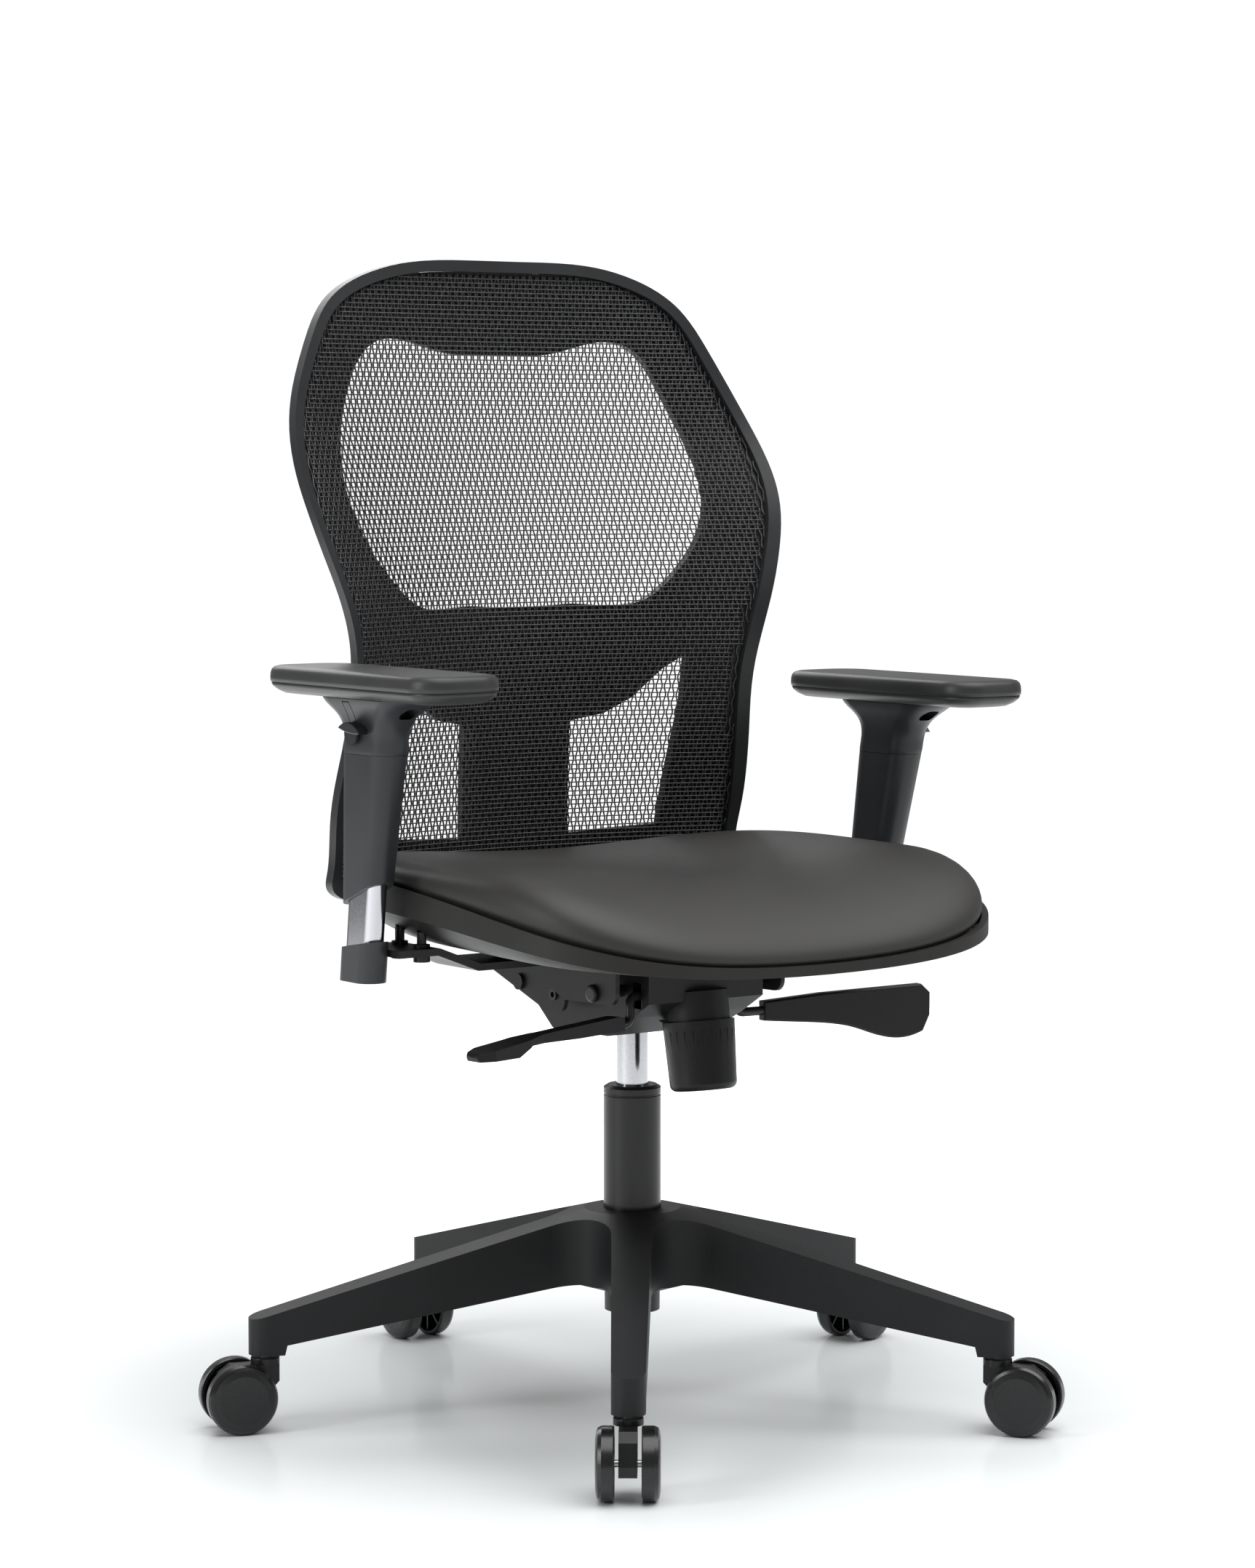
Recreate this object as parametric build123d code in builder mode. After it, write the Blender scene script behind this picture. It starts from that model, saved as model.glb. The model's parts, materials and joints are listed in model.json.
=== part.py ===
"""Swivel office chair: five-leg castor base, gas lift, synchro-tilt seat, mesh back and lifting arms.

Millimetres, +Z up.  The origin is on the floor under the swivel axis and the seat faces -Y,
so the sitter's right-hand side is -X.
"""

import os
from math import cos, pi, radians, sin

from build123d import *

os.makedirs("parts", exist_ok=True)

# ---------------------------------------------------------------- driving dimensions
SIDES = (("right", -1), ("left", 1))  # the sitter's right is -X

# star base
LEGS = 5
LEG_ANGLES = [90 + 360 / LEGS * k for k in range(LEGS)]
STEM_CIRCLE_R = 327.0
LEG_ROOT_HALF_WIDTH = 18.0
LEG_TIP_R = 14.0
HUB_CORNER_R = 40.0
HUB_TOP_Z = 173.5
HUB_BOTTOM_Z = 104.0
LEG_TIP_TOP_Z = 95.5
LEG_TIP_BOTTOM_Z = 64.7
LEG_WALL = 4.0

# castors
WHEEL_R = 30.0
WHEEL_INNER_X = 10.9
WHEEL_OUTER_X = 26.0
CASTOR_TRAIL = 23.5
AXLE_R = 3.0
STEM_R = 5.5
STEM_TOP_Z = 88.0
HOOD_HALF_WIDTH = 7.5
HOOD_CAP_R = 12.3
HOOD_CAP_Z = 56.5

# gas lift
COLUMN_R = 25.0
COLUMN_WALL = 2.0
COLUMN_TAPER = 0.8
COLUMN_BOTTOM_Z = 84.0
COLUMN_TOP_Z = 280.0
CYLINDER_R = 14.0
CYLINDER_BOTTOM_Z = 150.0
CYLINDER_TOP_Z = 372.0
ROD_R = 5.0
RUNNING_GAP = 0.05

# tilt mechanism
MAIN_PIVOT = (3.0, 365.0)  # (y, z) of the pivot of the back arm
FRONT_PIVOT = (-69.0, 374.0)  # (y, z) of the pivot of the seat bracket
REAR_PIN = (55.0, 371.0)  # (y, z) of the pin that couples the back arm to the seat bracket
HOUSING_HALF_WIDTH = 60.0
LUG_X = 66.0
BACK_ARM_X = 76.0
BRACKET_X = 85.0
STUB_X = 50.0
PLATE = 4.0
PIN_R = 5.0
LIFT_PIVOT = (-52.0, 375.0)  # (y, z) where the lift lever's rod passes the housing wall
LOCK_PIVOT = (-91.0, 372.0)  # (y, z) where the lock lever's rod passes the housing wall
LEVER_ROD_R = 4.0
LEVER_SWEEP = 6.0  # forward sweep of both levers in degrees

# seat
SEAT_HALF_WIDTH = 245.0
SEAT_MID_Y = -30.0
SEAT_FRONT_LENGTH = 240.0
SEAT_REAR_LENGTH = 195.0
SEAT_FRONT_SQUARENESS = 4.0
SEAT_REAR_SQUARENESS = 3.0
PAN_FLOOR_Z = 402.0
PAN_WALL = 4.0
RIM_FRONT_Z = 411.0
RIM_LIP = 7.0
SHELL_CLIMB = 0.45  # share of the rim's rise that the pan's underside follows at its edge
SHELL_TUCK = 0.5  # share of the side wall taken up by the rounded lower edge
TUCK_REACH = 1.12  # the rounding stops growing this far out
CUSHION_TOP_Z = 485.0
BOARD_THICKNESS = 8.0
SEAT_SCREWS = ((-60, -84), (60, -84), (-60, 22), (60, 22))
SEAT_SCREW_R = 3.0
SEAT_SCREW_TOP = 412.0

# back
BACK_TOP_Z = 998.0
BACK_CORNER = (196.0, 440.0)  # (x, z) of the lower corner
RIM_WIDTH = 10.0
CARCASS_GAP = 3.0
CARCASS_THICKNESS = 8.0
RIM_PROUD = 3.5  # how far the rim stands in front of the mesh
RIM_BEHIND = 7.5
MESH_THICKNESS = 2.0
SPINE_HALF_WIDTH = 35.0
SPINE_TOP_Z = 620.0
BACK_REACH = 260.0  # deep enough to cut right through the back
BACK_SCREWS = ((-22, 460), (22, 460), (-22, 585), (22, 585))
BACK_SCREW_R = 3.0
BACK_SCREW_TIP = 6.0  # behind the mesh, inside the carcass

# arms
ARM_X = 273.0
ARM_Y = -18.0
ARM_REFERENCE_Z = 570.0
ARM_SEAM_Z = {"right": 581.0, "left": 560.0}  # height each arm is set to
ARM_LEAN = 0.171  # forward run for each unit of height
ARM_SPLAY = 0.038  # outward run for each unit of height
ARM_BAR_Y = (-30.0, 34.0)
ARM_BAR_END_X = 257.5
ARM_BOLT_X = 226.0
ARM_BOLT_Y = (-15.0, 19.0)
ARM_BOLT_R = 4.0
POST_SIZE = (18.0, 42.0)
POST_GAP = 0.4
POST_BOTTOM_Z = 395.0
POST_TOP_Z = 555.0
POST_HEADROOM = 11.0
CUP_SIZE = (27.0, 48.7)
CUP_BOTTOM_Z = 389.0
SLEEVE_BOTTOM = (27.0, 51.0)
SLEEVE_TOP = (34.0, 68.0)
SLEEVE_LENGTH = 118.0
HEAD_SECTIONS = ((0, (34, 68)), (15, (35, 69)), (28, (38, 80)), (36, (44, 100)), (46, (52, 128)))
HEAD_HEIGHT = 46.0
PAD_CENTRE = (274.5, -32.5)
PAD_SIZE = (85.0, 261.0)
PAD_THICKNESS = 24.0
TRIGGER_OUT = 19.8
TRIGGER_BASE_R = 9.5
TRIGGER_BOSS_R = 3.0


STANDING = (Align.CENTER, Align.CENTER, Align.MIN)  # a cylinder that stands on its location


def write(builder, label):
    """Labels a finished piece and writes it to its own STEP file."""
    builder.part.label = label
    export_step(builder.part, f"parts/{label}.step")


# ---------------------------------------------------------------- curves and surfaces
def through(points, at):
    """Smooth curve through (position, value) points, read at one position."""
    points = list(points)
    at = min(max(at, points[0][0]), points[-1][0])
    slopes = []
    for i in range(len(points)):
        low, high = points[max(i - 1, 0)], points[min(i + 1, len(points) - 1)]
        slopes.append((high[1] - low[1]) / (high[0] - low[0]))
    i = max(k for k in range(len(points) - 1) if points[k][0] <= at)
    (x0, y0), (x1, y1) = points[i], points[i + 1]
    step = x1 - x0
    t = (at - x0) / step
    rise = (2 * t**3 - 3 * t**2 + 1) * y0 + (3 * t**2 - 2 * t**3) * y1
    bend = (t**3 - 2 * t**2 + t) * slopes[i] + (t**3 - t**2) * slopes[i + 1]
    return rise + bend * step


def seat_radius(x, y):
    """How far out a plan point is: 0 at the seat's middle, 1 on its outline."""
    if y < SEAT_MID_Y:
        length, power = SEAT_FRONT_LENGTH, SEAT_FRONT_SQUARENESS
    else:
        length, power = SEAT_REAR_LENGTH, SEAT_REAR_SQUARENESS
    across = abs(x) / SEAT_HALF_WIDTH
    along = abs(y - SEAT_MID_Y) / length
    return (across**power + along**power) ** (1 / power)


def seat_outline(inset, count=48):
    """Points of the seat's plan outline, brought in by a constant amount."""
    points = []
    for k in range(count):
        angle = 2 * pi * k / count
        front = sin(angle) < 0
        power = SEAT_FRONT_SQUARENESS if front else SEAT_REAR_SQUARENESS
        length = SEAT_FRONT_LENGTH if front else SEAT_REAR_LENGTH
        c, s = cos(angle), sin(angle)
        reach = (abs(c) ** power + abs(s) ** power) ** (-1 / power)
        x = (SEAT_HALF_WIDTH - inset) * reach * c
        y = SEAT_MID_Y + (length - inset) * reach * s
        points.append((x, y))
    return points


def rim_height(x, y):
    """Saddle line of the pan's rim: low at the front centre, high at the rear sides."""
    run = y - (SEAT_MID_Y - SEAT_FRONT_LENGTH)
    return RIM_FRONT_Z + 0.00035 * x**2 + 0.2 * run - 0.00024 * run**2


def pan_height(x, y):
    """Underside of the pan: a flat floor that climbs to a rounded lower edge below the rim."""
    rise = rim_height(x, y) - RIM_LIP - PAN_FLOOR_Z
    reach = seat_radius(x, y)
    tuck = SHELL_TUCK * (1 - SHELL_CLIMB) * min(reach, TUCK_REACH) ** 9
    return PAN_FLOOR_Z + rise * (SHELL_CLIMB * reach**3 + tuck)


def cushion_height(x, y):
    """Top of the cushion: dished in the middle, raised at the sides, falling at the front."""
    dish = CUSHION_TOP_Z - 8 + 22 * (x / SEAT_HALF_WIDTH) ** 2
    front = max(0.0, (-110 - y) / 160)
    return dish - 48 * front**2.2 - 22 * (x / SEAT_HALF_WIDTH) ** 6


def plan_face(height, offset=0.0, half=262.0, steps=22):
    """Surface z = height(x, y) + offset over the whole seat."""
    rows = []
    for j in range(steps + 1):
        y = -290 + 480 * j / steps
        columns = [-half + 2 * half * i / steps for i in range(steps + 1)]
        rows.append([Vector(x, y, height(x, y) + offset) for x in columns])
    return Face.make_surface_from_array_of_points(rows, tol=0.05)


# (z, y) of the mesh on the centre line, then (z, curvature) of its hollow across the chair
BACK_CENTRE = (
    (430, 180),
    (520, 181),
    (600, 178),
    (680, 169),
    (760, 181),
    (860, 203),
    (940, 206),
    (1010, 202),
)
BACK_CURVE = (
    (430, 0.65),
    (520, 1.0),
    (600, 1.38),
    (680, 1.37),
    (760, 1.13),
    (860, 0.71),
    (940, 0.42),
    (1010, 0.0),
)


def back_depth(x, z):
    """Y of the stretched mesh: a lumbar bulge in height and a hollow from side to side."""
    return through(BACK_CENTRE, z) - through(BACK_CURVE, z) * 0.001 * x**2


def back_face(offset, half=275.0, steps=22):
    """Surface y = back_depth(x, z) + offset over the whole back."""
    rows = []
    for j in range(steps + 1):
        z = 425 + 590 * j / steps
        columns = [-half + 2 * half * i / steps for i in range(steps + 1)]
        rows.append([Vector(x, back_depth(x, z) + offset, z) for x in columns])
    return Face.make_surface_from_array_of_points(rows, tol=0.05)


UPPER_WINDOW = (
    (0, 914),
    (60, 917),
    (117, 928),
    (133, 925),
    (153, 910),
    (165, 890),
    (182, 850),
    (192, 800),
    (187, 770),
    (171, 740),
    (154, 720),
    (138, 705),
    (120, 694),
    (60, 692),
    (0, 690),
)
LOWER_WINDOW = (
    (57, 484),
    (57, 586),
    (90, 592),
    (115, 606),
    (140, 632),
    (160, 646),
    (160, 600),
    (147, 489),
)
BACK_HALF = (
    (134, 987.5),
    (187, 960),
    (214, 920),
    (234, 878),
    (251, 805),
    (233, 720),
    (214, 650),
    (213, 590),
    (218, 510),
    (216, 466),
)


def back_sketch(inset=0.0):
    """Closed front-view outline of the back in the XZ plane, brought in by an inset."""
    rim = [(0, BACK_TOP_Z), *BACK_HALF, BACK_CORNER]
    inner = [(0, BACK_TOP_Z - inset)]
    for before, at, after in zip(rim, rim[1:], rim[2:]):
        along = Vector(after[0] - before[0], after[1] - before[1]).normalized()
        inner.append((at[0] + inset * along.Y, at[1] - inset * along.X))
    corner = (BACK_CORNER[0] - inset, BACK_CORNER[1] + inset)
    with BuildSketch(Plane.XZ, mode=Mode.PRIVATE) as outline:
        with BuildLine():
            Spline(*inner, corner, tangents=[(1, 0), (-1, -0.3)])
            mirror(about=Plane.YZ)
            Line((-corner[0], corner[1]), corner)
        make_face()
    return outline.sketch


# ---------------------------------------------------------------- star base
def leg_top(r):
    """Height of the base's top face at a radius."""
    return HUB_TOP_Z - (r - 42) * (HUB_TOP_Z - LEG_TIP_TOP_Z) / (STEM_CIRCLE_R + LEG_TIP_R - 42)


# hollow under each leg, stopping short of the castor socket and crossed by ribs
with BuildPart() as leg_hollows:
    with BuildSketch(Plane.XY):
        with PolarLocations(0, LEGS, start_angle=LEG_ANGLES[0]):
            Polygon((50, -13.5), (300, -10), (300, 10), (50, 13.5), align=None)
    extrude(amount=200)
    with BuildSketch(Plane.XZ):
        Polygon((0, 40), (310, 40), (310, leg_top(310) - LEG_WALL), (0, leg_top(0) - LEG_WALL), align=None)
    revolve(axis=Axis.Z, mode=Mode.INTERSECT)
    for rib_r in (110, 170, 230):
        with BuildSketch(Plane.XY):
            Circle(rib_r + 1.5)
            Circle(rib_r - 1.5, mode=Mode.SUBTRACT)
        extrude(amount=200, mode=Mode.SUBTRACT)

with BuildPart() as star_base:
    with BuildSketch(Plane.XY):
        with PolarLocations(0, LEGS, start_angle=LEG_ANGLES[0]):
            root, tip = LEG_ROOT_HALF_WIDTH, LEG_TIP_R
            Polygon((0, -root), (STEM_CIRCLE_R, -tip), (STEM_CIRCLE_R, tip), (0, root), align=None)
        with PolarLocations(STEM_CIRCLE_R, LEGS, start_angle=LEG_ANGLES[0]):
            Circle(LEG_TIP_R)
    extrude(amount=200)
    uprights = star_base.edges().filter_by(Axis.Z)
    corners = uprights.filter_by(lambda e: Vector(e.center().X, e.center().Y).length < 2 * root)
    fillet(corners, HUB_CORNER_R)
    with BuildSketch(Plane.XZ):
        with BuildLine():
            tip_out = STEM_CIRCLE_R + LEG_TIP_R + 2
            tip_in = STEM_CIRCLE_R - LEG_TIP_R
            Polyline(
                (0, HUB_BOTTOM_Z),
                (34, HUB_BOTTOM_Z),
                (60, 112),
                (tip_in - 2, 73),
                (tip_in, LEG_TIP_BOTTOM_Z),
                (tip_out, LEG_TIP_BOTTOM_Z),
                (tip_out, leg_top(tip_out)),
                (42, HUB_TOP_Z),
                (0, HUB_TOP_Z),
                close=True,
            )
        make_face()
    revolve(axis=Axis.Z, mode=Mode.INTERSECT)
    add(leg_hollows.part, mode=Mode.SUBTRACT)
    # taper socket for the gas column
    with BuildSketch(Plane.XY.offset(HUB_BOTTOM_Z)):
        Circle(COLUMN_R - COLUMN_TAPER)
    with BuildSketch(Plane.XY.offset(HUB_TOP_Z)):
        Circle(COLUMN_R)
    loft(mode=Mode.SUBTRACT)
    # castor stem sockets
    with Locations(Plane.XY.offset(LEG_TIP_BOTTOM_Z)):
        with PolarLocations(STEM_CIRCLE_R, LEGS, start_angle=LEG_ANGLES[0]):
            Cylinder(STEM_R, STEM_TOP_Z - LEG_TIP_BOTTOM_Z, align=STANDING, mode=Mode.SUBTRACT)
write(star_base, "star_base")

# ---------------------------------------------------------------- gas lift
with BuildPart() as column_tube:
    with BuildSketch(Plane.XZ):
        inner = COLUMN_R - COLUMN_WALL
        Polygon(
            (ROD_R + 0.3, COLUMN_BOTTOM_Z),
            (COLUMN_R - COLUMN_TAPER - 0.2, COLUMN_BOTTOM_Z),
            (COLUMN_R - COLUMN_TAPER, HUB_BOTTOM_Z),
            (COLUMN_R, HUB_TOP_Z),
            (COLUMN_R, COLUMN_TOP_Z - 8),
            (COLUMN_R - 0.8, COLUMN_TOP_Z - 7.4),
            (COLUMN_R - 0.8, COLUMN_TOP_Z - 6.6),
            (COLUMN_R, COLUMN_TOP_Z - 6),
            (COLUMN_R, COLUMN_TOP_Z - 1),
            (COLUMN_R - 1, COLUMN_TOP_Z),
            (inner, COLUMN_TOP_Z),
            (inner, COLUMN_BOTTOM_Z + 4),
            (ROD_R + 0.3, COLUMN_BOTTOM_Z + 4),
            align=None,
        )
    revolve(axis=Axis.Z)
write(column_tube, "column_tube")

with BuildPart() as column_bush:
    with BuildSketch(Plane.XZ):
        Polygon(
            (CYLINDER_R + RUNNING_GAP, 230),
            (inner - 0.1, 230),
            (inner - 0.1, COLUMN_TOP_Z),
            (inner - 1.5, COLUMN_TOP_Z + 1.5),
            (CYLINDER_R + RUNNING_GAP, COLUMN_TOP_Z + 1.5),
            align=None,
        )
    revolve(axis=Axis.Z)
write(column_bush, "column_bush")

with BuildPart() as thrust_bearing:
    with BuildSketch(Plane.XY.offset(COLUMN_BOTTOM_Z + 4)):
        Circle(12)
        Circle(ROD_R + 0.3, mode=Mode.SUBTRACT)
    extrude(amount=6)
write(thrust_bearing, "thrust_bearing")

with BuildPart() as piston_rod:
    with BuildSketch(Plane.XZ):
        shoulder = COLUMN_BOTTOM_Z + 10
        Polygon(
            (0, COLUMN_BOTTOM_Z - 4),
            (ROD_R, COLUMN_BOTTOM_Z - 4),
            (ROD_R, shoulder + 0.1),
            (9, shoulder + 0.1),
            (9, shoulder + 3),
            (ROD_R, shoulder + 3),
            (ROD_R, 232),
            (11.95, 232),
            (11.95, 244),
            (0, 244),
            align=None,
        )
    revolve(axis=Axis.Z)
write(piston_rod, "piston_rod")

with BuildPart() as gas_cylinder:
    with BuildSketch(Plane.XZ):
        Polygon(
            (ROD_R + RUNNING_GAP, CYLINDER_BOTTOM_Z),
            (CYLINDER_R - 1, CYLINDER_BOTTOM_Z),
            (CYLINDER_R, CYLINDER_BOTTOM_Z + 1),
            (CYLINDER_R, 334),
            (CYLINDER_R - 1, CYLINDER_TOP_Z),
            (PIN_R, CYLINDER_TOP_Z),
            (PIN_R, 358),
            (0, 358),
            (0, 300),
            (12, 300),
            (12, CYLINDER_BOTTOM_Z + 15),
            (ROD_R + RUNNING_GAP, CYLINDER_BOTTOM_Z + 15),
            align=None,
        )
    revolve(axis=Axis.Z)
write(gas_cylinder, "gas_cylinder")

with BuildPart() as release_pin:
    with Locations((0, 0, 364.5)):
        Cylinder(PIN_R - RUNNING_GAP, 12, align=STANDING)
    fillet(release_pin.edges().sort_by(Axis.Z)[-1], 1.5)
write(release_pin, "release_pin")


# ---------------------------------------------------------------- castors
def castor_plane(angle):
    """Plane on the floor under a stem: x points along the trail, y along the axle."""
    a = radians(angle)
    origin = (STEM_CIRCLE_R * cos(a), STEM_CIRCLE_R * sin(a), 0)
    return Plane(origin=origin, x_dir=(cos(a), sin(a), 0), z_dir=(0, 0, 1))


with BuildPart() as castor_stems:
    for angle in LEG_ANGLES:
        with Locations(castor_plane(angle).offset(LEG_TIP_BOTTOM_Z - 20)):
            Cylinder(STEM_R - 0.1, STEM_TOP_Z - LEG_TIP_BOTTOM_Z + 19, align=STANDING)
write(castor_stems, "castor_stems")

for number, angle in enumerate(LEG_ANGLES, start=1):
    floor = castor_plane(angle)
    side_view = Plane(origin=floor.origin, x_dir=floor.x_dir, z_dir=-floor.y_dir)
    with BuildPart() as hood:
        with BuildSketch(side_view):
            with BuildLine():
                nose = -HOOD_CAP_R + 1.5
                Polyline((nose, 57), (nose, 42), (4, 27), (12, 23), (44, 23))
                Polyline((44, 23), (46, 32), (40, 50), (30, 57), (nose, 57))
            make_face()
        extrude(amount=HOOD_HALF_WIDTH, both=True)
        # round cap that carries the stem, clear of the wheels below it
        with Locations(floor.offset(HOOD_CAP_Z)):
            Cylinder(HOOD_CAP_R, 6, align=STANDING)
        fillet(hood.edges().filter_by(GeomType.CIRCLE).sort_by(Axis.Z)[-1], 1.2)
        with Locations(floor.offset(40)):
            Cylinder(STEM_R - 0.02, 40, align=STANDING, mode=Mode.SUBTRACT)
        with BuildSketch(side_view):
            with Locations((CASTOR_TRAIL, WHEEL_R)):
                Circle(AXLE_R)
        extrude(amount=HOOD_HALF_WIDTH, both=True, mode=Mode.SUBTRACT)
    write(hood, f"castor_hood_{number}")

    with BuildPart() as axle:
        with BuildSketch(side_view):
            with Locations((CASTOR_TRAIL, WHEEL_R)):
                Circle(AXLE_R - 0.02)
        extrude(amount=WHEEL_OUTER_X - 4.5, both=True)
    write(axle, f"castor_axle_{number}")

    for letter, side in (("a", -1), ("b", 1)):
        hub_plane = side_view.offset(side * WHEEL_INNER_X)
        out = side_view.z_dir * side
        centre = hub_plane.from_local_coords((CASTOR_TRAIL, WHEEL_R, 0))
        wheel_plane = Plane(origin=centre, x_dir=out, z_dir=floor.x_dir)
        width = WHEEL_OUTER_X - WHEEL_INNER_X
        with BuildPart() as wheel:
            with BuildSketch(wheel_plane):
                with BuildLine():
                    Polyline((0, AXLE_R + RUNNING_GAP), (0, 7.5), (9.5, 7.5), (9.5, 24.5), (0, 26.5))
                    Line((0, 26.5), (0, WHEEL_R - 1))
                    Polyline((0, WHEEL_R - 1), (1, WHEEL_R), (width - 5, WHEEL_R), (width - 2, WHEEL_R - 1.5))
                    Polyline((width - 2, WHEEL_R - 1.5), (width - 0.8, WHEEL_R - 4), (width, WHEEL_R - 9))
                    Polyline((width, WHEEL_R - 9), (width, 0), (width - 4, 0))
                    Line((width - 4, 0), (width - 4, AXLE_R + RUNNING_GAP))
                    Line((width - 4, AXLE_R + RUNNING_GAP), (0, AXLE_R + RUNNING_GAP))
                make_face()
            revolve(axis=Axis(centre, out))
            spoke_plane = Plane(origin=centre, x_dir=floor.x_dir, z_dir=out)
            with BuildSketch(spoke_plane.offset(2)):
                with PolarLocations(16, 8):
                    Rectangle(18, 1.6)
            extrude(amount=8)
        write(wheel, f"castor_wheel_{number}{letter}")


# ---------------------------------------------------------------- tilt mechanism
def cross_disc(at, radius, x=0.0):
    """Circle at a (y, z) place in an upright plane at x, to extrude into a bar across the chair."""
    with BuildSketch(Plane.YZ.offset(x)) as disc:
        with Locations(at):
            Circle(radius)
    return disc.sketch


KNOB_R = 30.8
KNOB_TOP = 25.0
KNOB_LENGTH = 59.0
NECK_R = 27.0
KNOB_PLANE = Plane(origin=(0, -93.4, 372), x_dir=(1, 0, 0), z_dir=(0, -0.137, -0.99))

with BuildPart() as mech_housing:
    with BuildSketch(Plane.YZ):
        Polygon(
            (-108, 392),
            (-60, 392),
            (58, 372),
            (58, 350),
            (34, 331),
            (-48, 333),
            (-84, 352),
            (-108, 366),
            align=None,
        )
    extrude(amount=HOUSING_HALF_WIDTH, both=True)
    fillet(mech_housing.edges().filter_by(Axis.X).group_by(Axis.Z)[0], 8)
    with BuildSketch(Plane.YZ):
        Polygon((-62, 420), (52, 420), (52, 356), (32, 337), (-44, 339), (-62, 350), align=None)
    extrude(amount=HOUSING_HALF_WIDTH - 5, both=True, mode=Mode.SUBTRACT)
    with BuildSketch(Plane.XY.offset(336)):
        Circle(20)
    extrude(amount=28)
    # taper socket that grips the gas cylinder
    with BuildSketch(Plane.XY.offset(320)):
        Circle(CYLINDER_R + 0.4)
    with BuildSketch(Plane.XY.offset(CYLINDER_TOP_Z)):
        Circle(CYLINDER_R - 1)
    loft(mode=Mode.SUBTRACT)
    # room for the tension knob, then the neck and bore it screws up into
    with BuildSketch(KNOB_PLANE.offset(KNOB_TOP - 3)):
        Circle(KNOB_R + 3)
    extrude(amount=60, mode=Mode.SUBTRACT)
    with BuildSketch(KNOB_PLANE):
        Circle(NECK_R)
    extrude(amount=KNOB_TOP + 3)
    with BuildSketch(KNOB_PLANE.offset(-16)):
        Circle(13.5)
    extrude(amount=40, mode=Mode.SUBTRACT)
    with BuildSketch(KNOB_PLANE):
        Circle(4.1)
    extrude(amount=40, mode=Mode.SUBTRACT)
    # pivot pins, the lift lever's opening and the lock lever's pocket
    with BuildSketch(Plane.YZ):
        with Locations(MAIN_PIVOT, FRONT_PIVOT):
            Circle(PIN_R)
    extrude(amount=HOUSING_HALF_WIDTH, both=True, mode=Mode.SUBTRACT)
    with BuildSketch(Plane.YZ.offset(HOUSING_HALF_WIDTH - 6)):
        with Locations(LIFT_PIVOT):
            Circle(LEVER_ROD_R + 2.5)
    extrude(amount=8, mode=Mode.SUBTRACT)
    with Locations((-HOUSING_HALF_WIDTH + 6, LOCK_PIVOT[0], LOCK_PIVOT[1])):
        Box(26, 12, 22, mode=Mode.SUBTRACT)
write(mech_housing, "mech_housing")

with BuildPart() as pivot_pins:
    extrude(cross_disc(FRONT_PIVOT, PIN_R - 0.03), amount=BRACKET_X + PLATE + 0.5, both=True)
    for side in (-1, 1):
        # hollow stub each side of the gas lift for the back arm
        stub_root = side * STUB_X
        stub_length = side * (BACK_ARM_X + PLATE + 2 - STUB_X)
        extrude(cross_disc(MAIN_PIVOT, PIN_R - 0.03, stub_root), amount=stub_length)
        extrude(cross_disc(MAIN_PIVOT, 2.6, stub_root), amount=stub_length, mode=Mode.SUBTRACT)
        extrude(cross_disc(FRONT_PIVOT, 7.5, side * (BRACKET_X + PLATE + 0.5)), amount=side * 4)
    heads = pivot_pins.faces().filter_by(Axis.X).sort_by(Axis.X)
    fillet([heads[0].outer_wire().edges(), heads[-1].outer_wire().edges()], 2.5)
write(pivot_pins, "pivot_pins")

with BuildLine() as coil:
    Helix(pitch=6, height=30, radius=10.6, center=KNOB_PLANE.offset(-13).origin, direction=KNOB_PLANE.z_dir)
with BuildPart() as tension_spring:
    with BuildSketch(Plane(origin=coil.line @ 0, z_dir=coil.line % 0)):
        Circle(1.6)
    sweep(path=coil.line, is_frenet=True)
write(tension_spring, "tension_spring")

with BuildPart() as tension_knob:
    with BuildSketch(KNOB_PLANE.offset(KNOB_TOP)):
        Circle(KNOB_R)
    with BuildSketch(KNOB_PLANE.offset(KNOB_TOP + KNOB_LENGTH)):
        Circle(KNOB_R - 2.4)
    loft()
    fillet(tension_knob.faces().sort_by(Axis.Z)[0].edges(), 6)
    with BuildSketch(KNOB_PLANE.offset(KNOB_TOP)):
        Circle(NECK_R + 0.5)
    extrude(amount=5, mode=Mode.SUBTRACT)
    # grip flutes
    with BuildSketch(KNOB_PLANE.offset(KNOB_TOP + 8)):
        with PolarLocations(KNOB_R, 24):
            Circle(1.0)
    extrude(amount=KNOB_LENGTH - 16, mode=Mode.SUBTRACT)
    # screw that draws the spring together
    with BuildSketch(KNOB_PLANE.offset(KNOB_TOP + 7)):
        Circle(4)
    extrude(amount=-46)
write(tension_knob, "tension_knob")


# ---------------------------------------------------------------- levers
def rod_path(points, bend):
    """Straight runs joined by rounded bends."""
    with BuildLine() as path:
        FilletPolyline(*points, radius=bend)
    return path.line


def rod_section(path):
    """Round section square to the start of a path."""
    with BuildSketch(Plane(origin=path @ 0, z_dir=path % 0)) as section:
        Circle(LEVER_ROD_R)
    return section.sketch


def lever_plane(root, side):
    """Upright plane along a lever: x runs out along the lever and y runs up."""
    out = Vector(side * cos(radians(LEVER_SWEEP)), -sin(radians(LEVER_SWEEP)), 0)
    return Plane(origin=(root[0], root[1], 0), x_dir=out, z_dir=out.cross(Vector(0, 0, 1)))


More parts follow.
